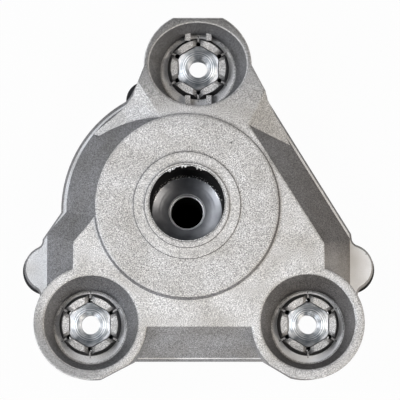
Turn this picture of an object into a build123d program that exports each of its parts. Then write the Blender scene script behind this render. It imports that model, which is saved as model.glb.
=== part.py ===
from build123d import *
from math import cos, hypot, pi, radians, sin, tan
import os

# Strut bearing: a die-cast top mount with threaded inserts, a rubber rod bush and a ball bearing below.
# Millimetres. The origin is on the bearing's axis at the spring seat's lower face, with +Z up.

# Ball bearing, from the resting face upwards
seat_t = 2.8
race_t = 3.1
race_gap = 3.0
cap_t = 3.0
ball_r = 3.0
ball_count = 20
track_clearance = 0.08
pocket_clearance = 0.15
race_w = 7.4
cage_w = 8.4
cage_t = 2.0
bore_step = 0.5
seat_inner_t = 2.8
seat_rim_t = 0.8
seat_flange_t = 1.6
skirt_t = 2.0
turn_gap = 0.5
cap_fit = 0.1
guide_t = 2.2
seal_t = 0.7
seal_inset = 0.1
skirt_inset = 0.6
seat_wall_gap = 0.4
seal_gap = 0.3

# Lower plate, pressed from sheet with a drawn neck
plate_t = 3.0
plate_r = 46.0
neck_r = 23.5
arm_r = 24.0
screw_r = 3.0
screw_head_r = 5.2
screw_head_t = 3.4
screw_bite = 4.6
screw_socket = 4.0
screw_hole_gap = 0.3
screw_spare = 0.4
screw_head_round = 1.2
screw_socket_t = 2.2
screw_point = 0.6
screw_boss_r = 6.5

# Casting
body_h = 38.0
flange_t = 6.0
flange_r = 57.4
flange_at = (-0.6, -0.4)
flange_draft = 12.0
flange_lip = 1.75
ear_r = 11.0
nook_round = 3.5
side_draft = 24.6
front_draft = 26.3
disc_r = 40.7
outer_step_r = 23.9
inner_step_r = 19.0
step_h = 0.5
plateau_drop = 2.1
plateau_tilt = 1.55
left_flank = 42.0
right_flank = 55.0
tower_draft = 1.0
top_flat = 21.4
leg_bury = 1.0
mouth_round = 1.0
rim_round = 0.8
disc_round = 0.8
short_edge = 15.0
tube_wall = 6.0
coring_wall = 6.5
roof_t = 5.0
rib_t = 3.5
wall_t = 4.0
rib_count = 16

# Wells, bosses and threaded inserts
land_depth = 14.0
ledge_drop = 5.0
ledge_shift = 1.4
ledge_round = 1.6
boss_foot_r = 14.0
land_r = 12.5
notch_w = 4.8
notch_inner_depth = 2.0
hex_flats = 18.6
hex_gap = 0.04
insert_sink = 1.0
insert_thread_r = 4.25
insert_lead = 1.4
insert_thread_l = 11.4
insert_relief_r = 5.6
insert_round_r = 10.0
corner_relief_r = 1.0
corner_relief_at = 10.9
insert_face_r = 8.4
insert_face_t = 0.3
insert_edge = 0.6
collar_r = 11.4
collar_t = 2.0
web_rib_t = 2.4
web_rib_x = 4.8
web_rib_l = 8.0
web_rib_drop = 0.8

# Rod bush, on an axis that leans back from the bearing's axis
rod_lean = 7.0
lean_depth = 12.2
lean_shift = -0.7
bore_r = 17.0
shell_r = 27.5
shell_t = 2.0
shell_top = 4.0
shell_h = 23.0
dish_r = 15.7
dish_top = -6.4
dish_depth = 1.7
dish_sag = 0.4
dish_t = 2.2
dish_hole_r = 7.75
dish_lead = 0.4
rod_r = 7.2
sleeve_t = 3.3
sleeve_l = 18.0
sleeve_edge = 0.5
rubber_lip = 0.8
rubber_crown = 3.2
rubber_wall = 4.0
rubber_skirt = 2.0
rubber_void = 5.0

# Places from the bearing's axis: the inserts, then the tower round each with its radius
insert_places = {"top": (5.1, 63.4), "left": (-43.6, -52.9), "right": (54.6, -52.8)}
towers = {"top": (4.8, 62.7, 24.1), "left": (-43.0, -52.2, 25.2), "right": (53.9, -52.1, 25.2)}
screw_places = {"left": (-64.0, -26.9), "right": (74.9, -26.3), "top": (-19.4, 51.2)}
lobes = {"left": (-64.6, -27.9, 11.0), "right": (75.3, -27.3, 11.0), "top": (-19.4, 51.2, 8.8)}

# Well mouths: place, radius to the sides, radii towards the foot and the head, and the ledge's radius
mouths = {
    "top": (4.8, 63.4, 22.4, 18.5, 18.7, 17.0),
    "left": (-42.3, -51.7, 22.5, 22.5, 22.5, 16.4),
    "right": (53.6, -51.1, 22.6, 22.6, 22.6, 16.4),
}

# Outlines seen from above: the body's foot, the flange and the leg of the top well
bottom_y = -69.5
body_outline = [(74.7, -13.2), (33.2, 53.8), (-15.0, 53.8), (-55.0, -0.5), (-64.1, -11.0)]
right_edge = [(78.4, -33.0), (75.7, -10.7), (37.5, 51.0), (35.3, 51.6)]
left_edge = [(-23.3, 59.0), (-26.0, 53.8), (-28.8, 49.7), (-34.5, 45.0), (-58.2, -1.0), (-66.6, -13.2)]
leg_left = [(-22.5, 54.2), (-24.6, 49.4), (-27.8, 45.3), (-33.0, 41.3), (-43.0, 34.5), (0, 20.0)]
leg_right = [(47.5, 29.5), (36.3, 47.5), (35.0, 51.5)]

# What the outline lacks beside the two lower towers, where their walls run straight to the foot's edge
left_nook = [(-41.0, -78.6), (-23.8, -69.7), (-15.0, -69.7), (-15.0, -82.0), (-41.0, -82.0)]
right_nook = [(27.0, -69.7), (34.8, -69.7), (46.0, -76.3), (52.0, -79.8), (27.0, -82.0)]

# Creases where a flank leaves the plateau: a point on each and the way it runs
left_crease_at = (-17.9, 46.5)
left_crease_way = (-7.6, 11.3)
right_crease_at = (33.9, 47.0)
right_crease_way = (5.9, 11.4)

# Levels
lower_track_z = seat_t + race_t
ball_z = lower_track_z + race_gap / 2
upper_track_z = lower_track_z + race_gap
cap_z = upper_track_z + race_t
plate_z = cap_z + cap_t
flange_z = plate_z + plate_t
web_z = flange_z + flange_t
disc_z = flange_z + body_h
land_z = disc_z - land_depth
ledge_z = land_z - ledge_drop
top_z = disc_z + 2 * step_h
pivot_z = disc_z - lean_depth

# Radii of the bearing, from the neck that centres it outwards
neck_outer_r = neck_r + plate_t
seat_bore_r = neck_r + bore_step
race_in = neck_outer_r + turn_gap + seat_inner_t
pitch_r = race_in + race_w / 2
race_out = race_in + race_w
seat_wall_out = race_out + seat_rim_t
skirt_in = seat_wall_out + seat_wall_gap
skirt_out = skirt_in + skirt_t
seat_r = skirt_out + skirt_inset

draft_run = tan(radians(side_draft))
drum_foot_r = disc_r + body_h * draft_run

# Planes: the plateau round the disc, and the leaning rod axis
tilt = radians(plateau_tilt)
plateau = Plane(origin=(0, 0, disc_z - plateau_drop), x_dir=(1, 0, 0), z_dir=(0, -sin(tilt), cos(tilt)))
lean = radians(rod_lean)
pivot = (0, lean_shift, pivot_z)
rod_plane = Plane(origin=pivot, x_dir=(1, 0, 0), z_dir=(0, sin(lean), cos(lean)))
rod_section = Plane(origin=pivot, x_dir=(1, 0, 0), z_dir=(0, -cos(lean), sin(lean)))
rod_axis = Axis(pivot, (0, sin(lean), cos(lean)))

left_x, left_y, left_r = towers["left"]
right_x, right_y, right_r = towers["right"]
top_x, top_y, top_r = towers["top"]
bottom_foot_y = bottom_y + flange_lip

os.makedirs("parts", exist_ok=True)


# V-notch at one corner of a hex pocket, pointing along +X
with BuildPart() as notch:
    for r, depth in ((hex_flats / 2 - 1, notch_inner_depth), (boss_foot_r + 1, ledge_drop + 0.6)):
        with BuildSketch(Plane(origin=(r, 0, land_z), x_dir=(0, 1, 0), z_dir=(1, 0, 0))):
            with BuildLine():
                Polyline(
                    (-notch_w / 2, 1),
                    (-notch_w / 2, 0),
                    (0, -depth),
                    (notch_w / 2, 0),
                    (notch_w / 2, 1),
                    close=True,
                )
            make_face()
    loft(ruled=True)

# The boss that stands in a well and carries the lands
with BuildPart() as boss:
    with Locations((0, 0, ledge_z)):
        Cone(boss_foot_r, land_r, ledge_drop, align=(Align.CENTER, Align.CENTER, Align.MIN))

# What is open inside a boss: the hex pocket, six V-notches and the collar's recess
with BuildPart() as pocket:
    with BuildSketch(Plane.XY.offset(flange_z)):
        RegularPolygon(hex_flats / 2 + hex_gap, 6, major_radius=False, rotation=30)
    extrude(amount=land_z - flange_z)
    with BuildSketch(Plane.XY.offset(flange_z)):
        Circle(collar_r + hex_gap)
    extrude(amount=collar_t)
    with PolarLocations(0, 6, start_angle=30):
        add(notch.part)
    with BuildSketch(Plane.XY.offset(flange_z)):
        with PolarLocations(corner_relief_at, 6, start_angle=30):
            Circle(corner_relief_r)
    extrude(amount=land_z - flange_z)

# The space of each well, round its insert: a mouth off the boss's centre, drafted down to a ledge
well_cores = {}
for name, (x, y) in insert_places.items():
    mouth_x, mouth_y, side_r, near_r, far_r, ledge_r = mouths[name]
    mouth = (mouth_x - x, mouth_y - y)
    with BuildPart() as well_core:
        with BuildSketch(Plane.XY.offset(ledge_z)):
            with BuildLine():
                CenterArc((0, -ledge_shift), ledge_r, 0, 180)
                CenterArc((0, -ledge_shift), ledge_r, 180, 180)
            make_face()
        with BuildSketch(Plane.XY.offset(top_z)):
            with BuildLine():
                EllipticalCenterArc(mouth, side_r, far_r, 0, arc_size=180)
                EllipticalCenterArc(mouth, side_r, near_r, 180, arc_size=180)
            make_face()
        loft()
        fillet(well_core.faces().sort_by(Axis.Z)[0].edges(), ledge_round)
        add(boss.part, mode=Mode.SUBTRACT)
        if name == "top":
            with Locations((0, 0, ledge_z)):
                with GridLocations(2 * web_rib_x, 2 * land_r + web_rib_l, 2, 2):
                    Box(
                        web_rib_t,
                        web_rib_l,
                        ledge_drop - web_rib_drop,
                        align=(Align.CENTER, Align.CENTER, Align.MIN),
                        mode=Mode.SUBTRACT,
                    )
        add(pocket.part)
    well_cores[name] = well_core.part

# The leg that carries the top well, with its two sloped flanks
with BuildPart() as top_leg:
    with BuildSketch(Plane.XY.offset(flange_z)):
        with BuildLine():
            Polyline(
                *leg_left,
                *leg_right,
                (top_x + top_r - leg_bury, top_y + 2 * leg_bury),
                (top_x - top_r + leg_bury, top_y + 2 * leg_bury),
                close=True,
            )
        make_face()
    extrude(amount=top_z - flange_z)
    crease_z = disc_z - plateau_drop
    left_crease = Vector(*left_crease_way, 0).normalized()
    left_up = Vector(left_crease.Y, -left_crease.X, 0) * -sin(radians(left_flank))
    left_normal = left_up + Vector(0, 0, cos(radians(left_flank)))
    split(bisect_by=Plane(origin=(*left_crease_at, crease_z), z_dir=left_normal), keep=Keep.BOTTOM)
    right_crease = Vector(*right_crease_way, 0).normalized()
    right_up = Vector(right_crease.Y, -right_crease.X, 0) * sin(radians(right_flank))
    right_normal = right_up + Vector(0, 0, cos(radians(right_flank)))
    split(bisect_by=Plane(origin=(*right_crease_at, crease_z), z_dir=right_normal), keep=Keep.BOTTOM)

# Coring under the disc: a ring of pockets between the bush's tube and the outer wall
with BuildPart() as coring:
    coring_h = body_h - roof_t
    coring_foot_r = drum_foot_r - coring_wall
    with Locations((0, 0, flange_z)):
        Cone(
            coring_foot_r,
            coring_foot_r - coring_h * draft_run,
            coring_h,
            align=(Align.CENTER, Align.CENTER, Align.MIN),
        )
        tube_r = shell_r + tube_wall
        Cylinder(
            tube_r,
            coring_h,
            align=(Align.CENTER, Align.CENTER, Align.MIN),
            mode=Mode.SUBTRACT,
        )
        with PolarLocations((tube_r + coring_foot_r) / 2, rib_count):
            Box(
                coring_foot_r,
                rib_t,
                coring_h,
                align=(Align.CENTER, Align.CENTER, Align.MIN),
                mode=Mode.SUBTRACT,
            )
    with Locations(*[(x, y, flange_z) for x, y in insert_places.values()]):
        Cylinder(
            collar_r + wall_t,
            coring_h,
            align=(Align.CENTER, Align.CENTER, Align.MIN),
            mode=Mode.SUBTRACT,
        )
    with Locations(*[(x, y, flange_z) for x, y in screw_places.values()]):
        Cylinder(
            screw_boss_r,
            coring_h,
            align=(Align.CENTER, Align.CENTER, Align.MIN),
            mode=Mode.SUBTRACT,
        )


def beside_ear(corner):
    return any(abs(hypot(corner.X - screw_places[name][0], corner.Y - screw_places[name][1]) - ear_r) < 0.01
               for name in ("left", "right"))


def on_tower(edge):
    return any(hypot(edge.center().X - x, edge.center().Y - y) < r + leg_bury for x, y, r in towers.values())


# Housing: the die casting
with BuildPart() as housing:
    with BuildSketch(Plane.XY.offset(web_z)):
        with BuildLine():
            Polyline(
                (body_outline[-1][0], bottom_foot_y),
                (body_outline[0][0], bottom_foot_y),
                *body_outline,
                close=True,
            )
        make_face()
    extrude(amount=disc_z - web_z, taper=side_draft)
    front = radians(front_draft)
    front_plane = Plane(origin=(0, bottom_foot_y, web_z), z_dir=(0, -cos(front), sin(front)))
    split(bisect_by=front_plane, keep=Keep.BOTTOM)
    add(top_leg.part)
    tower_h = top_z - flange_z
    tower_run = tower_h * tan(radians(tower_draft))
    for x, y, r in towers.values():
        with Locations((x, y, flange_z)):
            Cone(r + tower_run, r, tower_h, align=(Align.CENTER, Align.CENTER, Align.MIN))
    split(bisect_by=plateau, keep=Keep.BOTTOM)
    with BuildSketch(Plane.XY.offset(flange_z)) as foot_outline:
        with Locations(flange_at):
            Circle(flange_r)
        with BuildLine():
            Polyline(
                (left_x - left_r, left_y),
                (left_x, bottom_y),
                (right_x, bottom_y),
                (right_x + right_r, right_y),
                *right_edge,
                (top_x + top_r, top_y),
                (top_x - top_r, top_y),
                *left_edge,
                close=True,
            )
        make_face()
        with Locations(screw_places["left"], Location((*screw_places["right"], 0), 180)):
            Circle(ear_r)
        fillet(foot_outline.vertices().filter_by(beside_ear), nook_round)
    extrude(amount=flange_t, taper=flange_draft)
    for nook in (left_nook, right_nook):
        with BuildSketch(Plane.XY.offset(flange_z)):
            with BuildLine():
                Polyline(*nook, close=True)
            make_face()
        extrude(amount=top_z - flange_z, mode=Mode.SUBTRACT)
    with Locations((0, 0, flange_z)):
        Cone(drum_foot_r, disc_r, body_h, align=(Align.CENTER, Align.CENTER, Align.MIN))
    for r, level in ((outer_step_r, 1), (inner_step_r, 2)):
        with BuildSketch(Plane.XY.offset(disc_z)):
            Circle(r)
        extrude(amount=level * step_h)
    split(bisect_by=Plane(origin=(0, top_y + top_flat, 0), z_dir=(0, 1, 0)), keep=Keep.BOTTOM)
    for name, (x, y) in insert_places.items():
        with Locations((x, y)):
            add(well_cores[name], mode=Mode.SUBTRACT)
    with BuildSketch(rod_plane.offset(shell_top)):
        Circle(shell_r)
    extrude(amount=-body_h, mode=Mode.SUBTRACT)
    with BuildSketch(rod_plane):
        Circle(bore_r)
    extrude(amount=body_h, mode=Mode.SUBTRACT)
    add(coring.part, mode=Mode.SUBTRACT)
    with BuildSketch(Plane.XY.offset(flange_z)):
        with Locations(*screw_places.values()):
            Circle(screw_r)
    extrude(amount=screw_bite + screw_spare, mode=Mode.SUBTRACT)
    plateau_face = housing.faces().filter_by(plateau).sort_by(SortBy.AREA)[-1]
    fillet([edge for wire in plateau_face.inner_wires() for edge in wire.edges()], mouth_round)
    plateau_rim = housing.faces().filter_by(plateau).sort_by(SortBy.AREA)[-1].outer_wire().edges()
    straights = plateau_rim.filter_by(GeomType.LINE).filter_by(lambda edge: edge.length > short_edge)
    fillet(plateau_rim.filter_by(on_tower) + straights.filter_by(on_tower, reverse=True), rim_round)
    disc_rim = housing.edges().filter_by(GeomType.CIRCLE).filter_by(lambda edge: abs(edge.radius - disc_r) < 0.01)
    fillet(disc_rim.sort_by(Axis.Z)[-1], disc_round)
housing.part.label = "housing"
export_step(housing.part, "parts/housing.step")

# Threaded inserts: hex steel, drawn up against a collar in the casting's underside
for name, (x, y) in insert_places.items():
    foot = Plane(origin=(x, y, flange_z))
    insert_h = land_z - insert_sink - flange_z
    with BuildPart() as insert:
        with BuildSketch(foot):
            RegularPolygon(hex_flats / 2, 6, major_radius=False, rotation=30)
        extrude(amount=insert_h)
        with BuildSketch(foot):
            Circle(insert_round_r)
        extrude(amount=insert_h, mode=Mode.INTERSECT)
        chamfer(insert.faces().sort_by(Axis.Z)[-1].edges(), insert_edge)
        with BuildSketch(foot):
            Circle(collar_r)
        extrude(amount=collar_t)
        with BuildSketch(foot.offset(insert_h)):
            Circle(insert_face_r)
        extrude(amount=insert_face_t)
        with BuildSketch(foot):
            Circle(insert_thread_r)
        extrude(amount=insert_h + insert_face_t, mode=Mode.SUBTRACT)
        with BuildSketch(foot):
            Circle(insert_relief_r)
        extrude(amount=insert_h + insert_face_t - insert_thread_l, mode=Mode.SUBTRACT)
        mouth_edge = insert.edges().filter_by(lambda e: abs(e.length - 2 * pi * insert_thread_r) < 0.01)
        chamfer(mouth_edge.sort_by(Axis.Z)[-1], insert_lead)
    insert.part.label = f"insert_{name}"
    export_step(insert.part, f"parts/insert_{name}.step")

# Outer shell of the bush, pressed into the casting from below
shell_in = shell_r - shell_t
shell_end = shell_top - shell_h
with BuildPart() as outer_shell:
    with BuildSketch(rod_section):
        with Locations((shell_r - shell_t / 2, shell_top - shell_h / 2)):
            Rectangle(shell_t, shell_h)
    revolve(axis=rod_axis)
outer_shell.part.label = "outer_shell"
export_step(outer_shell.part, "parts/outer_shell.step")

# Dished plate: a steel pressing on the end of the sleeve, with a lead into its hole
sleeve_r = rod_r + sleeve_t
dish_low = dish_top - dish_depth
dish_seat = dish_low - dish_t
dish_mid_r = (dish_r + sleeve_r) / 2
dish_mid_low = (dish_seat + dish_top - dish_t) / 2 - dish_sag
with BuildPart() as dish_plate:
    with BuildSketch(rod_section):
        with BuildLine():
            mid_r = (dish_r + dish_hole_r) / 2
            mid_w = (dish_top + dish_low) / 2 - dish_sag
            ThreePointArc((dish_r, dish_top), (mid_r, mid_w), (dish_hole_r + dish_lead, dish_low))
            Polyline(
                (dish_hole_r + dish_lead, dish_low),
                (dish_hole_r, dish_low - dish_lead),
                (dish_hole_r, dish_seat),
                (sleeve_r, dish_seat),
            )
            ThreePointArc((sleeve_r, dish_seat), (dish_mid_r, dish_mid_low), (dish_r, dish_top - dish_t))
            Line((dish_r, dish_top - dish_t), (dish_r, dish_top))
        make_face()
    revolve(axis=rod_axis)
dish_plate.part.label = "dish_plate"
export_step(dish_plate.part, "parts/dish_plate.step")

# Inner sleeve that takes the damper rod
with BuildPart() as inner_sleeve:
    with BuildSketch(rod_section):
        with Locations((rod_r + sleeve_t / 2, dish_seat - sleeve_l / 2)):
            Rectangle(sleeve_t, sleeve_l)
    revolve(axis=rod_axis)
    chamfer(inner_sleeve.edges().filter_by(GeomType.CIRCLE).sort_by(Axis.Z)[:2], sleeve_edge)
inner_sleeve.part.label = "inner_sleeve"
export_step(inner_sleeve.part, "parts/inner_sleeve.step")

# Rubber, bonded between the shell and the sleeve and round the plate's rim
with BuildPart() as rubber_bush:
    with BuildSketch(rod_section):
        with BuildLine():
            skirt_low = shell_end + rubber_skirt
            sleeve_low = dish_seat - sleeve_l + rubber_skirt
            ThreePointArc((sleeve_r, dish_seat), (dish_mid_r, dish_mid_low), (dish_r, dish_top - dish_t))
            Polyline(
                (dish_r, dish_top - dish_t),
                (dish_r, dish_top),
                (dish_r + rubber_lip, dish_top),
                (shell_in - rubber_wall, rubber_crown),
                (shell_in, rubber_crown),
                (shell_in, skirt_low),
                (shell_in - rubber_wall, skirt_low),
            )
            void_out = shell_in - rubber_wall
            void_in = sleeve_r + rubber_wall
            void_top = skirt_low + rubber_void
            FilletPolyline(
                (void_out, skirt_low),
                (void_out, void_top),
                (void_in, void_top),
                (void_in, sleeve_low + rubber_wall),
                radius=(void_out - void_in) / 3,
            )
            Polyline(
                (sleeve_r + rubber_wall, sleeve_low + rubber_wall),
                (sleeve_r, sleeve_low),
                (sleeve_r, dish_seat),
            )
        make_face()
    revolve(axis=rod_axis)
rubber_bush.part.label = "rubber_bush"
export_step(rubber_bush.part, "parts/rubber_bush.step")

# Lower plate: pressed steel with three lobes and a drawn neck that centres the bearing
neck_end_z = seat_t + seal_t + seal_gap
with BuildPart() as lower_plate:
    with BuildSketch(Plane.XY.offset(plate_z)):
        Circle(plate_r)
    extrude(amount=plate_t)
    for x, y, r in lobes.values():
        with BuildSketch(Plane.XY.offset(plate_z)):
            Circle(arm_r)
            with Locations((x, y)):
                Circle(r)
            make_hull()
        extrude(amount=plate_t)
    with BuildSketch(Plane.XY.offset(neck_end_z)):
        Circle(neck_outer_r)
    extrude(amount=plate_z - neck_end_z)
    with BuildSketch(Plane.XY.offset(neck_end_z)):
        Circle(neck_r)
    extrude(amount=flange_z - neck_end_z, mode=Mode.SUBTRACT)
    with BuildSketch(Plane.XY.offset(plate_z)):
        with Locations(*screw_places.values()):
            Circle(screw_r + screw_hole_gap)
    extrude(amount=plate_t, mode=Mode.SUBTRACT)
lower_plate.part.label = "lower_plate"
export_step(lower_plate.part, "parts/lower_plate.step")

# Socket screws that hold the lower plate, driven from below
for name, (x, y) in screw_places.items():
    with BuildPart() as plate_screw:
        with BuildSketch(Plane(origin=(x, y, plate_z - screw_head_t))):
            Circle(screw_head_r)
        extrude(amount=screw_head_t)
        fillet(plate_screw.edges().sort_by(Axis.Z)[0], screw_head_round)
        with BuildSketch(Plane(origin=(x, y, plate_z))):
            Circle(screw_r)
        extrude(amount=plate_t + screw_bite)
        chamfer(plate_screw.edges().sort_by(Axis.Z)[-1], screw_point)
        with BuildSketch(Plane(origin=(x, y, plate_z - screw_head_t))):
            RegularPolygon(screw_socket / 2, 6, major_radius=False)
        extrude(amount=screw_socket_t, mode=Mode.SUBTRACT)
    plate_screw.part.label = f"plate_screw_{name}"
    export_step(plate_screw.part, f"parts/plate_screw_{name}.step")

# Bearing's top cap: holds the upper race, with a skirt over the seat
skirt_end_z = seat_flange_t + seal_t + seal_gap
cap_bore_r = neck_outer_r + cap_fit
with BuildPart() as bearing_top_cap:
    with BuildSketch(Plane.XZ):
        with BuildLine():
            Polyline(
                (cap_bore_r, plate_z),
                (cap_bore_r, cap_z - guide_t),
                (race_in, cap_z - guide_t),
                (race_in, cap_z),
                (race_out, cap_z),
                (race_out, cap_z - guide_t),
                (skirt_in, cap_z - guide_t),
                (skirt_in, skirt_end_z),
                (skirt_out, skirt_end_z),
                (skirt_out, plate_z),
                close=True,
            )
        make_face()
    revolve(axis=Axis.Z)
bearing_top_cap.part.label = "bearing_top_cap"
export_step(bearing_top_cap.part, "parts/bearing_top_cap.step")

# Races: pressed steel rings with a rolled track
track_r = ball_r + track_clearance
for name, low_z in (("lower_race", seat_t), ("upper_race", upper_track_z)):
    with BuildPart() as race:
        with BuildSketch(Plane.XZ):
            with Locations((pitch_r, low_z + race_t / 2)):
                Rectangle(race_w, race_t)
            with Locations((pitch_r, ball_z)):
                Circle(track_r, mode=Mode.SUBTRACT)
        revolve(axis=Axis.Z)
    race.part.label = name
    export_step(race.part, f"parts/{name}.step")

# Ball cage: a flat ring with a pocket for each ball
with BuildPart() as ball_cage:
    with BuildSketch(Plane.XY.offset(ball_z - cage_t / 2)):
        Circle(pitch_r + cage_w / 2)
        Circle(pitch_r - cage_w / 2, mode=Mode.SUBTRACT)
        with PolarLocations(pitch_r, ball_count):
            Circle(ball_r + pocket_clearance, mode=Mode.SUBTRACT)
    extrude(amount=cage_t)
ball_cage.part.label = "ball_cage"
export_step(ball_cage.part, "parts/ball_cage.step")

# Balls
for index in range(ball_count):
    turn = radians(360 / ball_count * index)
    with BuildPart() as ball:
        with Locations((pitch_r * cos(turn), pitch_r * sin(turn), ball_z)):
            Sphere(ball_r)
    ball.part.label = f"ball_{index + 1:02d}"
    export_step(ball.part, f"parts/ball_{index + 1:02d}.step")

# Spring seat: the lower cap that carries the lower race and turns with the spring
with BuildPart() as spring_seat:
    with BuildSketch(Plane.XZ):
        with BuildLine():
            Polyline(
                (seat_bore_r, 0),
                (seat_r, 0),
                (seat_r, seat_flange_t),
                (seat_wall_out, seat_flange_t),
                (seat_wall_out, seat_t + guide_t),
                (race_out, seat_t + guide_t),
                (race_out, seat_t),
                (race_in, seat_t),
                (race_in, seat_t + guide_t),
                (neck_outer_r + turn_gap, seat_t + guide_t),
                (neck_outer_r + turn_gap, seat_t),
                (seat_bore_r, seat_t),
                close=True,
            )
        make_face()
    revolve(axis=Axis.Z)
spring_seat.part.label = "spring_seat"
export_step(spring_seat.part, "parts/spring_seat.step")

# Seal rings, bonded on the seat just short of the parts that they seal
seals = {
    "outer_seal": (skirt_in + seal_inset, skirt_out - seal_inset, seat_flange_t),
    "inner_seal": (seat_bore_r + seal_inset, neck_outer_r - seal_inset, seat_t),
}
for name, (inner, outer, low_z) in seals.items():
    with BuildPart() as seal:
        with BuildSketch(Plane.XY.offset(low_z)):
            Circle(outer)
            Circle(inner, mode=Mode.SUBTRACT)
        extrude(amount=seal_t)
    seal.part.label = name
    export_step(seal.part, f"parts/{name}.step")
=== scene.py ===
import random
from math import ceil, cos, pi, radians, sin

import bpy
from mathutils import Matrix, Vector


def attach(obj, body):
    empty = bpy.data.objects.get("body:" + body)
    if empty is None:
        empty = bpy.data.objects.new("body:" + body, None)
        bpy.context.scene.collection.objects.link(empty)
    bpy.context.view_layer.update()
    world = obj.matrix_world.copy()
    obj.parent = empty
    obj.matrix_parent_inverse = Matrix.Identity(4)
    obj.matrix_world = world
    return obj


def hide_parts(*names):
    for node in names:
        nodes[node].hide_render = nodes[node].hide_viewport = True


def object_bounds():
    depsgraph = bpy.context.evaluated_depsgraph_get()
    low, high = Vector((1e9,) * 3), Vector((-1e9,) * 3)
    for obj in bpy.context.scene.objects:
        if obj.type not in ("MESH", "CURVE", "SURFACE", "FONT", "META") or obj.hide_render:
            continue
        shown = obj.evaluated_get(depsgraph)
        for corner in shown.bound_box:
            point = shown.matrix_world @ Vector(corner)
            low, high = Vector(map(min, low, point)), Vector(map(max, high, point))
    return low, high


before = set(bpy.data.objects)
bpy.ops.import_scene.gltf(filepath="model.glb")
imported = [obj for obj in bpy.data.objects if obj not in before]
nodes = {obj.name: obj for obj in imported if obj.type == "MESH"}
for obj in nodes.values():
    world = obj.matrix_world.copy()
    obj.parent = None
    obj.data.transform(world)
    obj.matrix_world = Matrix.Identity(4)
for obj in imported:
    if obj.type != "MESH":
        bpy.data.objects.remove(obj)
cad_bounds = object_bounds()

scene = bpy.context.scene
scene.view_settings.view_transform = "Standard"


# Camera: a long lens about a metre above the disc that looks almost straight down. It leans four degrees,
# from the foot of the picture.
camera_place = Vector((0.0014, -0.0698, 1.056))
camera_aim = Vector((0.0058, 0.0023, 0.056))
camera = bpy.data.objects.new("camera", bpy.data.cameras.new("camera"))
sight = (camera_aim - camera_place).normalized()
across = sight.cross(Vector((0, 1, 0))).normalized()
turn = Matrix((across, across.cross(sight), -sight)).transposed()
camera.matrix_world = Matrix.Translation(camera_place) @ turn.to_4x4()
camera.data.sensor_width = 36.0
camera.data.lens = 202.8
camera.data.clip_start = 0.01
scene.collection.objects.link(camera)
scene.camera = camera


# Studio: a sheet of white paper under the part, seen as plain white, and soft round lamps above. The sheet
# keeps a faint shadow, and metal sees the same white that the camera does. A black disc on the paper under
# the bearing's bore is painted shade.
floor_half = 1.5
floor_drop = 0.0001
floor_z = cad_bounds[0][2] - floor_drop
shadow_share = 0.03
shade_disc_r = 0.0225
shade_disc_lift = 0.0002
shade_disc_sides = 36
lamp_size = 0.4
lamp_aim = Vector((0, 0, 0.04))


# Turns an sRGB hex colour into the linear one that Blender's sockets hold
def linear(code):
    channels = [int(code[i:i + 2], 16) / 255 for i in (1, 3, 5)]
    return [c / 12.92 if c <= 0.04045 else ((c + 0.055) / 1.055) ** 2.4 for c in channels] + [1.0]


# Adds one node with its settings, and gives each named input a value or a link
def add_node(tree, kind, inputs=None, **settings):
    made = tree.nodes.new(kind)
    for name, value in settings.items():
        setattr(made, name, value)
    for name, value in (inputs or {}).items():
        if isinstance(value, bpy.types.NodeSocket):
            tree.links.new(value, made.inputs[name])
        else:
            made.inputs[name].default_value = value
    return made


def new_material(name):
    material = bpy.data.materials.new(name)
    material.use_nodes = True
    material.node_tree.nodes.clear()
    return material, material.node_tree


# Matt paper: white without a shine, which takes only the softest shadow
paper, tree = new_material("matt_white_paper")
rays = add_node(tree, "ShaderNodeLightPath").outputs
seen = rays["Is Camera Ray"]
for ray in ("Is Glossy Ray", "Is Transmission Ray"):
    seen = add_node(tree, "ShaderNodeMath", {0: seen, 1: rays[ray]}, operation="MAXIMUM").outputs[0]
lit = add_node(tree, "ShaderNodeBsdfDiffuse", {"Color": linear("#b4b4b2")})
glow = add_node(tree, "ShaderNodeEmission", {"Color": linear("#ffffff"), "Strength": 1.0})
pale = add_node(tree, "ShaderNodeMixShader", {0: shadow_share, 1: glow.outputs[0], 2: lit.outputs[0]})
sheet = add_node(tree, "ShaderNodeMixShader", {0: seen, 1: lit.outputs[0], 2: pale.outputs[0]})
add_node(tree, "ShaderNodeOutputMaterial", {"Surface": sheet.outputs[0]})

floor_corners = [(x * floor_half, y * floor_half, floor_z) for x, y in ((-1, -1), (1, -1), (1, 1), (-1, 1))]
floor_mesh = bpy.data.meshes.new("paper_sheet")
floor_mesh.from_pydata(floor_corners, [], [(0, 1, 2, 3)])
floor_mesh.materials.append(paper)
paper_sheet = bpy.data.objects.new("paper_sheet", floor_mesh)
scene.collection.objects.link(paper_sheet)

# Painted shade: a flat black disc that shows nothing through the rod's hole
shade_disc_material, tree = new_material("painted_shade_under_the_bore")
matt = add_node(tree, "ShaderNodeBsdfDiffuse", {"Color": linear("#050505")})
add_node(tree, "ShaderNodeOutputMaterial", {"Surface": matt.outputs[0]})

shade_disc_angles = [2 * pi * i / shade_disc_sides for i in range(shade_disc_sides)]
shade_disc_rim = [(shade_disc_r * cos(a), shade_disc_r * sin(a), floor_z + shade_disc_lift) for a in shade_disc_angles]
shade_disc_mesh = bpy.data.meshes.new("painted_shade_disc")
shade_disc_mesh.from_pydata(shade_disc_rim, [], [tuple(range(shade_disc_sides))])
shade_disc_mesh.materials.append(shade_disc_material)
painted_shade_disc = bpy.data.objects.new("painted_shade_disc", shade_disc_mesh)
scene.collection.objects.link(painted_shade_disc)

world = bpy.data.worlds.new("studio")
world.use_nodes = True
tree = world.node_tree
tree.nodes.clear()
room = add_node(tree, "ShaderNodeBackground", {"Color": linear("#8c8f94"), "Strength": 0.44})
white = add_node(tree, "ShaderNodeBackground", {"Color": linear("#ffffff"), "Strength": 1.0})
camera_ray = add_node(tree, "ShaderNodeLightPath").outputs["Is Camera Ray"]
sky = add_node(tree, "ShaderNodeMixShader", {0: camera_ray, 1: room.outputs[0], 2: white.outputs[0]})
add_node(tree, "ShaderNodeOutputWorld", {"Surface": sky.outputs[0]})
scene.world = world

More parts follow.
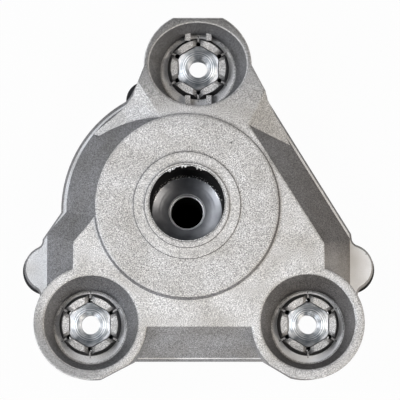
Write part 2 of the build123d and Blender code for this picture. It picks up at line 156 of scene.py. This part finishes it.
# Each lamp's place, power in watts and tint, which is cool on the left and warm on the right
lamps = {
    "high_right": ((0.72, 0.0, 1.02), 4.45, "#fff8f0"),
    "high_left": ((-0.72, 0.0, 1.02), 6.15, "#f6f9ff"),
    "back_left": ((-0.51, 0.51, 1.02), 2.75, "#f6f9ff"),
    "front_left": ((-0.78, -0.78, 0.59), 6.8, "#f6f9ff"),
    "front": ((0.0, -1.1, 0.59), 2.25, "#ffffff"),
    "front_right": ((0.78, -0.78, 0.59), 4.75, "#fff5e8"),
}
for name, (place, power, tint) in lamps.items():
    lamp = bpy.data.lights.new(name, "AREA")
    lamp.shape = "DISK"
    lamp.size = lamp_size
    lamp.energy = power
    lamp.color = linear(tint)[:3]
    holder = bpy.data.objects.new(name, lamp)
    holder.location = place
    holder.rotation_euler = (lamp_aim - Vector(place)).to_track_quat("-Z", "Y").to_euler()
    scene.collection.objects.link(holder)


# Housing: one aluminium die casting, shot blasted. The blast leaves a fine bright and dark grain on what
# faces up, and hardly reaches the steep walls, which keep the darker skin and drag marks of the die; their
# darkness is also partly painted shade. The disc's two turned steps show a line of painted shade, a few
# pores show as dots of painted shade, and the bore is painted near black as shade.

# Sizes in it, in metres, as the CAD has them
disc_z = 0.056
disc_r = 0.0407
step_radii = (0.0239, 0.0190)
step_line = 0.00016
bore_r = 0.0170
rod_pivot = Vector((0, -0.0007, 0.0438))
rod_way = Vector((0, sin(radians(7)), cos(radians(7))))
insert_places = {"insert_top": (0.0051, 0.0634), "insert_left": (-0.0436, -0.0529),
                 "insert_right": (0.0546, -0.0528)}

# How far a boss, a well and its outside reach from the insert's axis, and the heights that part the low
# ledges, the lands of the bosses and the rims of the wells
boss_r = 0.0145
well_r = 0.0225
tower_r = 0.0255
low_z = 0.0385
lands_z = 0.0428
rims_z = 0.050

# The shot's dimples are 0.1 to 0.2 mm wide, too fine to show at 2.2 pixels to the mm, so they are drawn
# 0.43 mm wide. The die's drag marks are 0.8 mm wide and four times as long, and the clouds of the blast
# are 16 mm wide.
grit = 0.00043
grit_depth = 0.0002
drag_mark = 0.0008
drag_stretch = 0.25
cloud = 0.016
grain_in_skin = 0.78

# Pores 0.6 mm across, about 9 mm apart, and one larger blowhole on the disc
pore_pitch = 0.009
pore_r = 0.0003
blowhole = Vector((0.0198, 0.0280, 0.056))
blowhole_r = 0.0005

# How round an edge is drawn below the lands and above them
crisp_edge = 0.0003
soft_edge = 0.0018

# Where a finish comes in and where it is full: by how far the normal points up, and by place on the part
blast_up = (0.42, 0.55)
flat_up = (0.85, 0.95)
cloudy = (0.35, 0.75)
right_x = (0.02, 0.06)
left_x = (0.0, -0.02)
rim_from_axis = (0.074, 0.090)
leg_y = (0.032, 0.064)
ear_y = (-0.015, -0.024)
gap_z = (0.0440, 0.0400)

# How much of a tone is laid on there, from the left of the part to its right where there are two values
# Painted shade on the towers' rims, from full on the left to a quarter on the right
rim_shade = (1.0, 0.25)
# Painted light on the low ledges and ears, more on the right
low_flat_light = (0.6, 0.95)
# A paler tone on the flat tops off the disc and inside its steps
pale_tops = 0.15
# Painted light on the steep facet by the right ear
ear_facet_light = 0.22
# Painted light on the wells' side walls
side_wall_light = 0.12
# Painted shade in the disc's step lines and in the pores
step_and_pore_shade = 0.7


# How far a point is from the leaning axis of the rod
def rod_distance(tree):
    place = add_node(tree, "ShaderNodeTexCoord").outputs["Object"]
    offset = add_node(tree, "ShaderNodeVectorMath", {0: place, 1: rod_pivot}, operation="SUBTRACT")
    swept = add_node(tree, "ShaderNodeVectorMath", {0: offset.outputs[0], 1: rod_way},
                     operation="CROSS_PRODUCT")
    away = add_node(tree, "ShaderNodeVectorMath", {0: swept.outputs[0]}, operation="LENGTH")
    return away.outputs["Value"]


# Blasted cast aluminium: pale and dull, peppered with dark grit, where it faces up. The steep sides are
# darker, partly as painted shade, with short upright streaks.
cast, tree = new_material("shot_blasted_die_cast_aluminium")
place = add_node(tree, "ShaderNodeTexCoord").outputs
spot = add_node(tree, "ShaderNodeSeparateXYZ", {"Vector": place["Object"]}).outputs
facing = add_node(tree, "ShaderNodeSeparateXYZ", {"Vector": place["Normal"]}).outputs
flat_spot = add_node(tree, "ShaderNodeCombineXYZ", {"X": spot["X"], "Y": spot["Y"]}).outputs[0]
from_axis = add_node(tree, "ShaderNodeVectorMath", {0: flat_spot}, operation="LENGTH").outputs["Value"]
from_hole = add_node(tree, "ShaderNodeVectorMath", {0: place["Object"], 1: blowhole}, operation="DISTANCE")
nearest = None
for x, y in insert_places.values():
    away = add_node(tree, "ShaderNodeVectorMath", {0: flat_spot, 1: (x, y, 0)}, operation="DISTANCE")
    away = away.outputs["Value"]
    nearest = away if nearest is None else add_node(
        tree, "ShaderNodeMath", {0: nearest, 1: away}, operation="MINIMUM").outputs[0]

grain = add_node(tree, "ShaderNodeTexNoise", {"Vector": place["Object"], "Scale": 1 / grit, "Detail": 3.0,
                                              "Roughness": 0.65}).outputs["Fac"]
clouds = add_node(tree, "ShaderNodeTexNoise", {"Vector": place["Object"], "Scale": 1 / cloud,
                                               "Detail": 2.0})
pores = add_node(tree, "ShaderNodeTexVoronoi", {"Vector": place["Object"], "Scale": 1 / pore_pitch})
drawn = add_node(tree, "ShaderNodeMapping", {"Vector": place["Object"], "Scale": (1, 1, drag_stretch)})
streaks = add_node(tree, "ShaderNodeTexNoise", {"Vector": drawn.outputs[0], "Scale": 1 / drag_mark,
                                                "Detail": 2.0})
rough_skin = add_node(tree, "ShaderNodeMix", {0: grain_in_skin, 2: streaks.outputs["Fac"], 3: grain})
blasted = add_node(tree, "ShaderNodeValToRGB", {"Fac": grain})
ramp = blasted.color_ramp.elements
ramp[0].position, ramp[0].color = 0.36, linear("#868584")
ramp[1].position, ramp[1].color = 0.64, linear("#fffefd")
skin = add_node(tree, "ShaderNodeValToRGB", {"Fac": rough_skin.outputs[0]})
ramp = skin.color_ramp.elements
ramp[0].position, ramp[0].color = 0.42, linear("#626264")
ramp[1].position, ramp[1].color = 0.59, linear("#b2b2b4")

# Zones that come in softly: what is read, from where to where, and the share at each end
zones = {}
for name, value, (start, end), (first, last) in (
        ("open", facing["Z"], blast_up, (0, 1)),
        ("flat", facing["Z"], flat_up, (0, 1)),
        ("clouds", clouds.outputs["Fac"], cloudy, (0, 1)),
        ("right", spot["X"], right_x, (0, 1)),
        ("left", spot["X"], left_x, (0, 1)),
        ("rim shade", spot["X"], right_x, rim_shade),
        ("low flat light", spot["X"], right_x, low_flat_light),
        ("outer", from_axis, rim_from_axis, (0, 1)),
        ("leg", spot["Y"], leg_y, (0, 1)),
        ("by ear", spot["Y"], ear_y, (0, ear_facet_light)),
        ("deep", spot["Z"], gap_z, (0, 1))):
    zones[name] = add_node(tree, "ShaderNodeMapRange", {"Value": value, "From Min": start, "From Max": end,
                                                        "To Min": first, "To Max": last}).outputs[0]

# Zones with a sharp edge, and what follows from others
for name, operation, *values in (
        ("in well", "LESS_THAN", nearest, well_r),
        ("at boss", "LESS_THAN", nearest, boss_r),
        ("off towers", "GREATER_THAN", nearest, tower_r),
        ("high", "GREATER_THAN", spot["Z"], low_z),
        ("low", "SUBTRACT", 1.0, "high"),
        ("rims", "GREATER_THAN", spot["Z"], rims_z),
        ("steep", "SUBTRACT", 1.0, "open"),
        ("lengthwise", "ABSOLUTE", facing["Y"]),
        ("sideways", "SUBTRACT", 1.0, "lengthwise"),
        ("off disc", "GREATER_THAN", from_axis, disc_r),
        ("in steps", "LESS_THAN", from_axis, step_radii[0]),
        ("tops", "MAXIMUM", "off disc", "in steps"),
        ("on disc", "GREATER_THAN", spot["Z"], disc_z - step_line),
        ("outer step", "COMPARE", from_axis, step_radii[0], step_line),
        ("inner step", "COMPARE", from_axis, step_radii[1], step_line),
        ("steps", "MAXIMUM", "outer step", "inner step"),
        ("step lines", "MULTIPLY", "steps", "on disc"),
        ("pores", "LESS_THAN", pores.outputs["Distance"], pore_r / pore_pitch),
        ("blowhole", "LESS_THAN", from_hole.outputs["Value"], blowhole_r),
        ("pits", "MAXIMUM", "pores", "blowhole"),
        ("marks", "MAXIMUM", "step lines", "pits"),
        ("bore shade", "LESS_THAN", rod_distance(tree), bore_r + step_line)):
    inputs = {i: zones.get(value, value) for i, value in enumerate(values)}
    zones[name] = add_node(tree, "ShaderNodeMath", inputs, operation=operation).outputs[0]

coloured = add_node(tree, "ShaderNodeMix", {0: zones["open"], 6: skin.outputs[0], 7: blasted.outputs[0]},
                    data_type="RGBA").outputs[2]

# Tones laid over one another, each where all its zones meet: painted light on the low ledges and ears, a
# paler tone on the flat tops, painted shade on the rims and leg, painted shade with a warm tint on the
# steep right side, a painted light facet by the ear, painted shade and light on the well walls, painted
# shade deep by the bosses, clouds, and painted shade in the step lines, the pores and the bore
for blend, tone, *shares in (
        # Painted light on the low ledges and ears
        ("MIX", "#ffffff", "flat", "low", "low flat light"),
        ("MIX", "#ffffff", "flat", "high", "tops", pale_tops),
        # Painted shade on the rims of the towers and of the top leg, deeper on the left
        ("MULTIPLY", "#c0c0c0", "flat", "rims", "outer", "rim shade"),
        ("MULTIPLY", "#c0c0c0", "flat", "rims", "leg"),
        ("MULTIPLY", "#dedede", "flat", "rims", "leg", "left"),
        # Painted shade with a warm tint of light on the steep right side
        ("MULTIPLY", "#dcd6d0", "steep", "right"),
        # Painted light on the steep facet by the right ear
        ("MIX", "#fffaf4", "steep", "right", "by ear", "off towers"),
        # Painted shade on the wells' front and back walls, and painted light on their side walls
        ("MULTIPLY", "#d6d6d6", "steep", "in well", "lengthwise"),
        ("MIX", "#ffffff", "steep", "in well", "sideways", side_wall_light),
        # Painted shade deep in the wells by the bosses and in the V-notches
        ("MULTIPLY", "#909090", "steep", "at boss", "deep"),
        ("MULTIPLY", "#e4e2de", "clouds"),
        # Painted shade in the disc's step lines, and pores drawn as dots of painted shade
        ("MIX", "#2a2a2c", "marks", step_and_pore_shade),
        # Painted shade: the bore is painted near black
        ("MIX", "#191516", "bore shade")):
    share = zones[shares[0]]
    for other in shares[1:]:
        share = add_node(tree, "ShaderNodeMath", {0: share, 1: zones.get(other, other)},
                         operation="MULTIPLY").outputs[0]
    coloured = add_node(tree, "ShaderNodeMix", {0: share, 6: coloured, 7: linear(tone)}, data_type="RGBA",
                        blend_type=blend).outputs[2]

softness = add_node(tree, "ShaderNodeMapRange", {"Value": spot["Z"], "From Min": lands_z,
                                                 "From Max": lands_z + soft_edge, "To Min": crisp_edge,
                                                 "To Max": soft_edge})
rounded = add_node(tree, "ShaderNodeBevel", {"Radius": softness.outputs[0]}, samples=4)
height = add_node(tree, "ShaderNodeBump", {"Height": grain, "Strength": 0.9, "Distance": grit_depth,
                                           "Normal": rounded.outputs[0]})
metal = add_node(tree, "ShaderNodeBsdfPrincipled", {"Base Color": coloured, "Metallic": 0.8,
                                                    "Roughness": 0.70, "Normal": height.outputs[0]})
add_node(tree, "ShaderNodeOutputMaterial", {"Surface": metal.outputs[0]})


# Gives the CAD pieces their material and leaves their meshes as they are
def dress(names, material):
    for name in names:
        mesh = nodes[name].data
        mesh.materials.clear()
        mesh.materials.append(material)


dress(["housing"], cast)


# Notch ridges: eighteen small ridges of the same casting, one at the outer end of each V-notch in the
# bosses. They are cast and blasted with the housing, and show as pale lines in the dark notches.
notches = 6
first_notch = 30
ridge_radii = (0.0121, 0.0139)
ridge_heads = (0.0398, 0.0388)
ridge_foot = 0.0365
ridge_half_foot = 0.0008
ridge_half_head = 0.00045
ridge_sides = ((0, 1, 2, 3), (7, 6, 5, 4), (0, 4, 5, 1), (1, 5, 6, 2), (2, 6, 7, 3), (3, 7, 4, 0))

ridge_points = []
ridge_faces = []
for x, y in insert_places.values():
    for i in range(notches):
        angle = radians(first_notch + 360 / notches * i)
        start = len(ridge_points)
        for r, head in zip(ridge_radii, ridge_heads):
            for side, z in ((-ridge_half_foot, ridge_foot), (ridge_half_foot, ridge_foot),
                            (ridge_half_head, head), (-ridge_half_head, head)):
                ridge_points.append((x + r * cos(angle) - side * sin(angle),
                                     y + r * sin(angle) + side * cos(angle), z))
        ridge_faces += [tuple(start + corner for corner in face) for face in ridge_sides]
ridge_mesh = bpy.data.meshes.new("notch_ridges")
ridge_mesh.from_pydata(ridge_points, [], ridge_faces)
ridge_mesh.materials.append(cast)
notch_ridges = bpy.data.objects.new("notch_ridges", ridge_mesh)
scene.collection.objects.link(notch_ridges)
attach(notch_ridges, "mount")


# Threaded inserts: hex bar turned to a raised ring on its face, zinc plated, with fine rings from the
# facing tool, a lead cone, an M10 thread and a relief below it. The collar at the foot holds each in its
# boss.
insert_foot = 0.018
insert_top = 0.041
ring_top = 0.0413
hex_half = 0.0093
corner_r = 0.0100
collar_r = 0.0114
collar_t = 0.002
edge = 0.0004
ring_r = 0.0084
lead_r = 0.00565
minor_r = 0.00425
major_r = 0.0050
pitch = 0.0015
thread_low = 0.0299
relief_r = 0.0056
around = 96
rows_per_pitch = 8
fade_rows = 6
sharp_edge = radians(35)

# The tool's rings are 0.1 to 0.2 mm apart, too fine to show, so they are drawn 0.45 mm apart. The zinc's
# bloom lies in patches of 3 mm.
turn_mark = 0.00045
turn_depth = 0.0001
bloom_patch = 0.003
bloom_share = 0.4

# Zinc on turned steel: bluish and bright, with fans of light across the face, because the rings spread the
# shine of each lamp. The dull bloom of the plating breaks the fans up.
zinc, tree = new_material("zinc_plated_turned_steel")
place = add_node(tree, "ShaderNodeTexCoord").outputs["Object"]
local = add_node(tree, "ShaderNodeSeparateXYZ", {"Vector": place}).outputs
flat_spot = add_node(tree, "ShaderNodeCombineXYZ", {"X": local["X"], "Y": local["Y"]})
from_centre = add_node(tree, "ShaderNodeVectorMath", {0: flat_spot.outputs[0]}, operation="LENGTH")
rings = add_node(tree, "ShaderNodeTexNoise", {"W": from_centre.outputs["Value"], "Scale": 1 / turn_mark,
                                              "Detail": 2.0}, noise_dimensions="1D").outputs["Fac"]
bloom = add_node(tree, "ShaderNodeTexNoise", {"Vector": place, "Scale": 1 / bloom_patch,
                                              "Detail": 3.0}).outputs["Fac"]
patchy = add_node(tree, "ShaderNodeMix", {0: bloom_share, 2: rings, 3: bloom})
tone = add_node(tree, "ShaderNodeValToRGB", {"Fac": patchy.outputs[0]})
ramp = tone.color_ramp.elements
ramp[0].position, ramp[0].color = 0.38, linear("#99a2a9")
ramp[1].position, ramp[1].color = 0.58, linear("#ffffff")
rough = add_node(tree, "ShaderNodeMapRange", {"Value": bloom, "To Min": 0.3, "To Max": 0.65})
groove = add_node(tree, "ShaderNodeBump", {"Height": rings, "Strength": 0.8, "Distance": turn_depth})
swirl = add_node(tree, "ShaderNodeTangent", direction_type="RADIAL", axis="Z")
metal = add_node(tree, "ShaderNodeBsdfPrincipled", {
    "Base Color": tone.outputs[0], "Metallic": 1.0, "Roughness": rough.outputs[0], "Anisotropic": 0.85,
    "Anisotropic Rotation": 0.25, "Tangent": swirl.outputs[0], "Normal": groove.outputs[0]})
add_node(tree, "ShaderNodeOutputMaterial", {"Surface": metal.outputs[0]})


# The hex's radius at an angle, with its corners turned down to corner_r
def hex_r(angle, inset):
    to_flat = (hex_half - inset) / cos((angle + pi / 6) % (pi / 3) - pi / 6)
    return min(to_flat, corner_r - inset)


# Rows of points from the collar's foot up the outside, over the ring, and down the thread to the foot again
angles = [2 * pi * i / around for i in range(around)]
rows = [([r] * around, z) for r, z in (
    (relief_r, insert_foot), (collar_r - edge, insert_foot), (collar_r, insert_foot + edge),
    (collar_r, insert_foot + collar_t - edge), (collar_r - edge, insert_foot + collar_t))]
rows += [([hex_r(a, inset) for a in angles], z) for inset, z in (
    (0, insert_foot + collar_t), (0, insert_top - 2 * edge), (edge / 2, insert_top - edge / 2),
    (edge, insert_top))]
rows += [([r] * around, z) for r, z in (
    (ring_r + edge / 2, insert_top), (ring_r, insert_top + edge / 2), (ring_r - edge / 2, ring_top),
    (lead_r + edge / 2, ring_top), (lead_r, ring_top - edge / 2))]
cone_foot = ring_top - edge / 2 - (lead_r - minor_r)
steps = ceil((cone_foot - thread_low) / pitch * rows_per_pitch)
for step in range(steps + 1):
    z = cone_foot + (thread_low - cone_foot) * step / steps
    fade = min(1, step / fade_rows, (steps - step) / fade_rows)
    rows.append(([minor_r + (major_r - minor_r) * fade * abs(2 * ((z / pitch - a / (2 * pi)) % 1) - 1)
                  for a in angles], z))
rows += [([r] * around, z) for r, z in (
    (relief_r, thread_low - (relief_r - minor_r) / 2), (relief_r, insert_foot))]

insert_points = [(r * cos(a), r * sin(a), z) for radii, z in rows for r, a in zip(radii, angles)]
insert_faces = []
for row in range(len(rows) - 1):
    here = row * around
    above = here + around
    for i in range(around):
        k = (i + 1) % around
        insert_faces.append((here + i, here + k, above + k, above + i))
insert_mesh = bpy.data.meshes.new("threaded_insert")
insert_mesh.from_pydata(insert_points, [], insert_faces)
insert_mesh.shade_smooth()
insert_mesh.set_sharp_from_angle(angle=sharp_edge)
insert_mesh.materials.append(zinc)
for name, (x, y) in insert_places.items():
    piece = bpy.data.objects.new(name + "_turned", insert_mesh.copy())
    piece.location = (x, y, 0)
    scene.collection.objects.link(piece)
    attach(piece, "mount")
    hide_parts(name)


# Flash: the casting's own thin fin round the mouth of the bore, snapped off by hand. It is ragged at the
# back, where it was thickest, and elsewhere no more than a bright scraped line.
mouth_z = 0.057
mouth_y = rod_pivot.y + (mouth_z - rod_pivot.z) * rod_way.y / rod_way.z
flash_from = radians(58)
flash_to = radians(130)
flash_taper = 0.15
scrape_w = 0.0002
flash_w = 0.0009
flash_t = 0.0004
flash_sink = 0.00004
flash_around = 360
tear = 0.0006
tear_depth = 0.0003

# Each draw feeds a clump that fades from one point to the next, so the fin swells and thins by turns
clump_start = 0.5
clump_feed = 0.55
clump_fade = 0.5
clump_power = 2
clump_reach = 1.6
flash_random = random.Random(7)
flash_angles = [2 * pi * i / flash_around for i in range(flash_around)]
inner_rim = []
clump = clump_start
for angle in flash_angles:
    ragged = min(1, max(0, (angle - flash_from) / flash_taper), max(0, (flash_to - angle) / flash_taper))
    clump += flash_random.uniform(0.0, 1.0) * clump_feed - clump_fade * clump
    inner_rim.append(scrape_w + flash_w * ragged * clump ** clump_power * clump_reach)
flash_points = []
for z_down in (flash_sink, flash_t):
    for angle, torn_back in zip(flash_angles, inner_rim):
        reach_in = torn_back if z_down < flash_t else scrape_w / 2
        for r in (bore_r + scrape_w / 3, bore_r - reach_in):
            flash_points.append((r * cos(angle), r * sin(angle) + mouth_y, mouth_z - z_down))
flash_faces = []
low = 2 * flash_around
for i in range(flash_around):
    top_out, top_in = 2 * i, 2 * i + 1
    next_out = 2 * ((i + 1) % flash_around)
    next_in = next_out + 1
    flash_faces += [(top_out, next_out, next_in, top_in), (top_in, next_in, next_in + low, top_in + low),
                    (top_in + low, next_in + low, next_out + low, top_out + low)]
flash_mesh = bpy.data.meshes.new("bore_flash")
flash_mesh.from_pydata(flash_points, [], flash_faces)

# Torn aluminium: fresh metal, brighter than the blasted skin, with painted glints in broken bits 0.6 mm
# wide
torn, tree = new_material("torn_aluminium_flash")
place = add_node(tree, "ShaderNodeTexCoord").outputs["Object"]
tears = add_node(tree, "ShaderNodeTexNoise", {"Vector": place, "Scale": 1 / tear,
                                              "Detail": 3.0}).outputs["Fac"]
tone = add_node(tree, "ShaderNodeValToRGB", {"Fac": tears})
ramp = tone.color_ramp.elements
ramp[0].position, ramp[0].color = 0.42, linear("#8a8a88")
ramp[1].position, ramp[1].color = 0.58, linear("#fbfbf9")
height = add_node(tree, "ShaderNodeBump", {"Height": tears, "Strength": 0.9, "Distance": tear_depth})
metal = add_node(tree, "ShaderNodeBsdfPrincipled", {"Base Color": tone.outputs[0], "Metallic": 0.6,
                                                    "Roughness": 0.4, "Normal": height.outputs[0]})
add_node(tree, "ShaderNodeOutputMaterial", {"Surface": metal.outputs[0]})
flash_mesh.materials.append(torn)
bore_flash = bpy.data.objects.new("bore_flash", flash_mesh)
scene.collection.objects.link(bore_flash)
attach(bore_flash, "mount")


# Dish plate: a steel pressing on the leaning axis of the rod, phosphated dark and wiped with oil. The edge
# of its hole has a painted highlight, and crumbs of burnt rubber stick to the back of its rim.
hole_edge_r = 0.0083
dish_rim_r = 0.0152
oil_patch = 0.006
press_line = 0.0009
press_depth = 0.0001
crumb = 0.0006
crumb_y = 0.003
crumb_level = 0.6


# Crumbs 0.6 mm wide, on the back half of the bush, where near_rim is 1
def crumbs(tree, near_rim):
    place = add_node(tree, "ShaderNodeTexCoord").outputs["Object"]
    spot = add_node(tree, "ShaderNodeSeparateXYZ", {"Vector": place}).outputs
    flecks = add_node(tree, "ShaderNodeTexNoise", {"Vector": place, "Scale": 1 / crumb, "Detail": 2.0})
    share = near_rim
    for value, level in ((spot["Y"], crumb_y), (flecks.outputs["Fac"], crumb_level)):
        over = add_node(tree, "ShaderNodeMath", {0: value, 1: level}, operation="GREATER_THAN")
        share = add_node(tree, "ShaderNodeMath", {0: share, 1: over.outputs[0]},
                         operation="MULTIPLY").outputs[0]
    return share


# Oiled phosphate: a dark satin grey, cloudy in patches of 6 mm where the oil lies thicker, with faint rings
# of the press 0.9 mm wide. The edge of the hole is a thin bright line of painted highlight.
phosphate, tree = new_material("oiled_phosphated_steel")
place = add_node(tree, "ShaderNodeTexCoord").outputs["Object"]
rod_r = rod_distance(tree)
patches = add_node(tree, "ShaderNodeTexNoise", {"Vector": place, "Scale": 1 / oil_patch,
                                                "Detail": 4.0}).outputs["Fac"]
rings = add_node(tree, "ShaderNodeTexNoise", {"W": rod_r, "Scale": 1 / press_line, "Detail": 1.0},
                 noise_dimensions="1D")
tone = add_node(tree, "ShaderNodeValToRGB", {"Fac": patches})
ramp = tone.color_ramp.elements
ramp[0].position, ramp[0].color = 0.3, linear("#5e5f62")
ramp[1].position, ramp[1].color = 0.7, linear("#7a7b7d")
hole_edge_highlight = add_node(tree, "ShaderNodeMath", {0: rod_r, 1: hole_edge_r}, operation="LESS_THAN")
at_rim = add_node(tree, "ShaderNodeMath", {0: rod_r, 1: dish_rim_r}, operation="GREATER_THAN")
coloured = tone.outputs[0]
for share, colour in ((hole_edge_highlight.outputs[0], "#f2f2f2"), (crumbs(tree, at_rim.outputs[0]), "#c9c8c4")):
    coloured = add_node(tree, "ShaderNodeMix", {0: share, 6: coloured, 7: linear(colour)},
                        data_type="RGBA").outputs[2]
film = add_node(tree, "ShaderNodeMapRange", {"Value": patches, "To Min": 0.28, "To Max": 0.42})
drawn = add_node(tree, "ShaderNodeBump", {"Height": rings.outputs["Fac"], "Strength": 0.25,
                                          "Distance": press_depth})
metal = add_node(tree, "ShaderNodeBsdfPrincipled", {
    "Base Color": coloured, "Metallic": 0.9, "Roughness": film.outputs[0], "Normal": drawn.outputs[0]})
add_node(tree, "ShaderNodeOutputMaterial", {"Surface": metal.outputs[0]})
dress(["dish_plate"], phosphate)


# Sleeve and outer shell: the sleeve is turned from bar, bright on its ends and painted black inside as
# shade, and the shell is rolled and pressed in with a film of drawing soap burnt dark on it. Both are
# bonded to the rubber.
sleeve_bore_r = 0.0073
broad_grains = 12
fine_share = 0.5
film_spread = 0.1


# A plain finish of two tones, in a fine grain and in patches twelve grains wide, where the film is duller
def grained(name, dark, light, grain, depth, metallic, roughness):
    made, tree = new_material(name)
    place = add_node(tree, "ShaderNodeTexCoord").outputs["Object"]
    fine = add_node(tree, "ShaderNodeTexNoise", {"Vector": place, "Scale": 1 / grain, "Detail": 4.0})
    broad = add_node(tree, "ShaderNodeTexNoise", {"Vector": place, "Scale": 1 / (grain * broad_grains),
                                                  "Detail": 2.0})
    blend = add_node(tree, "ShaderNodeMix", {0: fine_share, 2: fine.outputs["Fac"],
                                             3: broad.outputs["Fac"]})
    tone = add_node(tree, "ShaderNodeValToRGB", {"Fac": blend.outputs[0]})
    ramp = tone.color_ramp.elements
    ramp[0].position, ramp[0].color = 0.35, linear(dark)
    ramp[1].position, ramp[1].color = 0.65, linear(light)
    film = add_node(tree, "ShaderNodeMapRange", {"Value": broad.outputs["Fac"],
                                                 "To Min": roughness - film_spread,
                                                 "To Max": roughness + film_spread})
    height = add_node(tree, "ShaderNodeBump", {"Height": fine.outputs["Fac"], "Strength": 0.5,
                                               "Distance": depth})
    surface = add_node(tree, "ShaderNodeBsdfPrincipled", {
        "Base Color": tone.outputs[0], "Metallic": metallic, "Roughness": film.outputs[0],
        "Normal": height.outputs[0]})
    add_node(tree, "ShaderNodeOutputMaterial", {"Surface": surface.outputs[0]})
    return made


# Lays another colour over such a finish where share is 1
def lay_over(material, share, colour):
    tree = material.node_tree
    shader = next(node for node in tree.nodes if node.type == "BSDF_PRINCIPLED")
    under = shader.inputs["Base Color"].links[0].from_socket
    over = add_node(tree, "ShaderNodeMix", {0: share, 6: under, 7: linear(colour)}, data_type="RGBA")
    tree.links.new(over.outputs[2], shader.inputs["Base Color"])


# Turned steel: a bright grey ring. Its marks are 0.1 mm apart, too fine to show, and drawn 0.4 mm wide.
steel = grained("turned_steel_shaded_black_inside", dark="#d2d2d3", light="#f4f4f4", grain=0.0004, depth=0.00005,
                metallic=0.9, roughness=0.4)
# Painted shade: the sleeve's bore is painted black
inside = add_node(steel.node_tree, "ShaderNodeMath", {0: rod_distance(steel.node_tree), 1: sleeve_bore_r},
                  operation="LESS_THAN")
lay_over(steel, inside.outputs[0], "#0b0b0c")
dress(["inner_sleeve"], steel)

# Burnt soap on rolled steel: a dull brownish grey in smears 0.9 mm wide
dress(["outer_shell"],
      grained("rolled_steel_with_burnt_soap", dark="#3c3a3a", light="#63605e", grain=0.0009, depth=0.00006,
              metallic=0.8, roughness=0.5))


# Rubber: a natural rubber bush moulded to the plate and the shell, and two seal rings of softer nitrile
# rubber. Both have the faint flow marks of the mould and a bloom of grey dust.
lip_r = 0.0168

# Natural rubber: a deep dull black, mottled in flow marks 1.2 mm wide, with pale crumbs at the back inside
# its lip
rubber = grained("moulded_natural_rubber", dark="#0b0b0c", light="#1b1b1c", grain=0.0012, depth=0.0001,
                 metallic=0.0, roughness=0.62)
at_lip = add_node(rubber.node_tree, "ShaderNodeMath", {0: rod_distance(rubber.node_tree), 1: lip_r},
                  operation="LESS_THAN")
lay_over(rubber, crumbs(rubber.node_tree, at_lip.outputs[0]), "#b5b4b0")
dress(["rubber_bush"], rubber)

# Nitrile rubber: a slightly greyer and smoother black, mottled 0.8 mm wide
dress(["outer_seal", "inner_seal"],
      grained("nitrile_seal_rubber", dark="#0f0f10", light="#232324", grain=0.0008, depth=0.00006,
              metallic=0.0, roughness=0.5))


# Lower plate: pressed steel dipped in black electrocoat, with a faint orange peel. Three screws with a zinc
# flake coat hold it to the casting.

# Electrocoat: an even black with a low gloss, which the peel, 1.4 mm wide, makes slightly wavy
dress(["lower_plate"],
      grained("black_electrocoat_on_steel", dark="#0c0c0d", light="#1a1a1b", grain=0.0014, depth=0.00005,
              metallic=0.0, roughness=0.38))

# Zinc flake: a flat silver grey. Its flakes are 0.02 mm wide, too fine to show, and drawn 0.5 mm wide.
dress(["plate_screw_left", "plate_screw_right", "plate_screw_top"],
      grained("zinc_flake_on_steel", dark="#7f8182", light="#b3b5b6", grain=0.0005, depth=0.00006,
              metallic=0.8, roughness=0.45))


# Bearing housings: the top cap and the spring seat, injection moulded from black nylon with glass fibre.
# The cap stays still under the casting, and the seat turns below it.

# Glass filled nylon: black with faint pale flecks. The fibres are 0.3 mm long, too fine to show, and the
# flecks are drawn 0.6 mm wide.
dress(["bearing_top_cap", "spring_seat"],
      grained("glass_filled_black_nylon", dark="#0e0e0f", light="#29292a", grain=0.0006, depth=0.00008,
              metallic=0.0, roughness=0.48))


# Races, balls and cage: tracks of rolled and hardened steel, ground clean, polished balls with a film of
# grease, and a cage moulded from natural nylon that the balls snap into.

# Ground steel: a clean grey with a tight shine. Its marks are 0.05 mm wide, too fine to show, and drawn
# 0.5 mm wide.
dress(["lower_race", "upper_race"],
      grained("hardened_race_steel", dark="#9b9da0", light="#c9cbcd", grain=0.0005, depth=0.00004,
              metallic=1.0, roughness=0.3))

# Polished steel: close to a mirror, dulled a little where the grease lies, in patches from 2 mm wide
dress([name for name in nodes if name.startswith("ball_") and name != "ball_cage"],
      grained("polished_ball_steel", dark="#c9cacc", light="#e9eaeb", grain=0.002, depth=0.00001,
              metallic=1.0, roughness=0.14))

# Natural nylon: a warm cream with a waxy shine, mottled 1 mm wide
dress(["ball_cage"],
      grained("natural_nylon", dark="#b9b096", light="#d3cbb2", grain=0.001, depth=0.00005,
              metallic=0.0, roughness=0.45))
